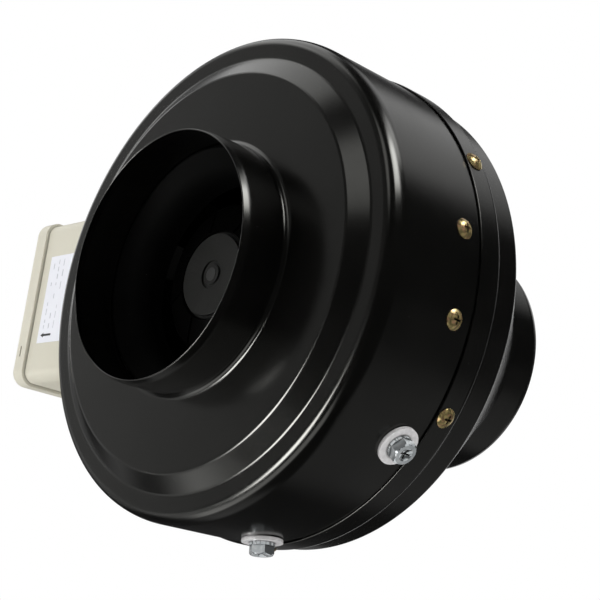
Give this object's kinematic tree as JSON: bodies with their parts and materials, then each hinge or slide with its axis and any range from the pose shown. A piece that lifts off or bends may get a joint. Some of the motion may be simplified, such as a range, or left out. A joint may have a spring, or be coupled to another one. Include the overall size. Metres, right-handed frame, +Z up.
{
  "type": "inline duct fan",
  "caption": "Centrifugal inline duct fan: stepped black steel casing between two round spigots, external-rotor motor and impeller inside, terminal box on the side.",
  "frame": {"origin": "centre of the inlet spigot's rim, on the fan's axis", "axes": "+Y along the fan's axis in the direction of the air flow, from inlet to outlet; terminal box on the -X side; +Z up"},
  "size_m": [0.3472, 0.2545, 0.3049],
  "materials": {
    "black_powder_coat": "semi-gloss black powder coat with fine orange peel",
    "galvanised_sheet": "zinc-coated sheet, dull spangle",
    "yellow_zinc": "yellow passivated zinc plating",
    "white_zinc": "bright zinc plating",
    "beige_shell": "satin beige moulding",
    "grey_foam": "soft grey sealing strip",
    "dark_rubber": "matt",
    "cable_jacket": "matt flexible jacket",
    "pale_nylon": "satin natural nylon",
    "plain_brass": "machined",
    "capacitor_can": "gloss plastic can",
    "label_paper": "satin white film",
    "grey_nylon": "satin grey nylon",
    "cast_alloy": "as cast",
    "lamination_steel": "stacked sheet edges",
    "copper_wire": "enamelled copper",
    "bearing_steel": "ground steel",
    "black_rotor_paint": "satin black dip paint",
    "dark_impeller": "satin black coated sheet"
  },
  "bodies": {
    "casing": {"inlet_housing": "black_powder_coat", "outlet_housing": "black_powder_coat", "inlet_nozzle": "black_powder_coat", "motor_bracket": "galvanised_sheet", "bracket_screws": "yellow_zinc", "bracket_nuts": "white_zinc", "seam_screws": "yellow_zinc", "seam_nuts": "white_zinc", "mount_bolts": "white_zinc", "mount_spring_washers": "white_zinc", "mount_washers": "white_zinc", "mount_nuts": "white_zinc", "terminal_box": "beige_shell", "lid_gasket": "grey_foam", "terminal_box_lid": "beige_shell", "lid_screws": "white_zinc", "box_screws": "white_zinc", "cable_grommet": "dark_rubber", "motor_cable": "cable_jacket", "terminal_block": "pale_nylon", "terminal_screws": "plain_brass", "capacitor": "capacitor_can", "capacitor_clip": "galvanised_sheet", "earth_screw": "plain_brass", "rating_label": "label_paper", "gland_body": "grey_nylon", "gland_locknut": "grey_nylon", "gland_cap": "grey_nylon", "gland_seal": "dark_rubber", "stator_flange": "cast_alloy", "stator_core": "lamination_steel", "stator_windings": "copper_wire", "motor_screws": "white_zinc", "bearing_outer_rings": "bearing_steel", "preload_spring": "bearing_steel"},
    "ball_sets": {"bearing_balls": "bearing_steel", "bearing_cages": "pale_nylon"},
    "rotor": {"bearing_inner_rings": "bearing_steel", "retaining_ring": "bearing_steel", "shaft": "bearing_steel", "rotor_can": "black_rotor_paint", "rotor_core": "lamination_steel", "impeller_backplate": "dark_impeller", "impeller_blades": "dark_impeller", "impeller_shroud": "dark_impeller", "impeller_screws": "white_zinc"}
  },
  "joints": [
    {"name": "rotor_spin", "type": "hinge", "parent": "casing", "child": "rotor", "pos_m": [0, 0.075, 0], "axis": [0, 1, 0], "continuous": true},
    {"name": "ball_orbit", "type": "hinge", "parent": "casing", "child": "ball_sets", "pos_m": [0, 0.075, 0], "axis": [0, 1, 0], "continuous": true}
  ],
  "couplings": [
    {"joint": "ball_orbit", "follows": "rotor_spin", "ratio": 0.3677}
  ]
}
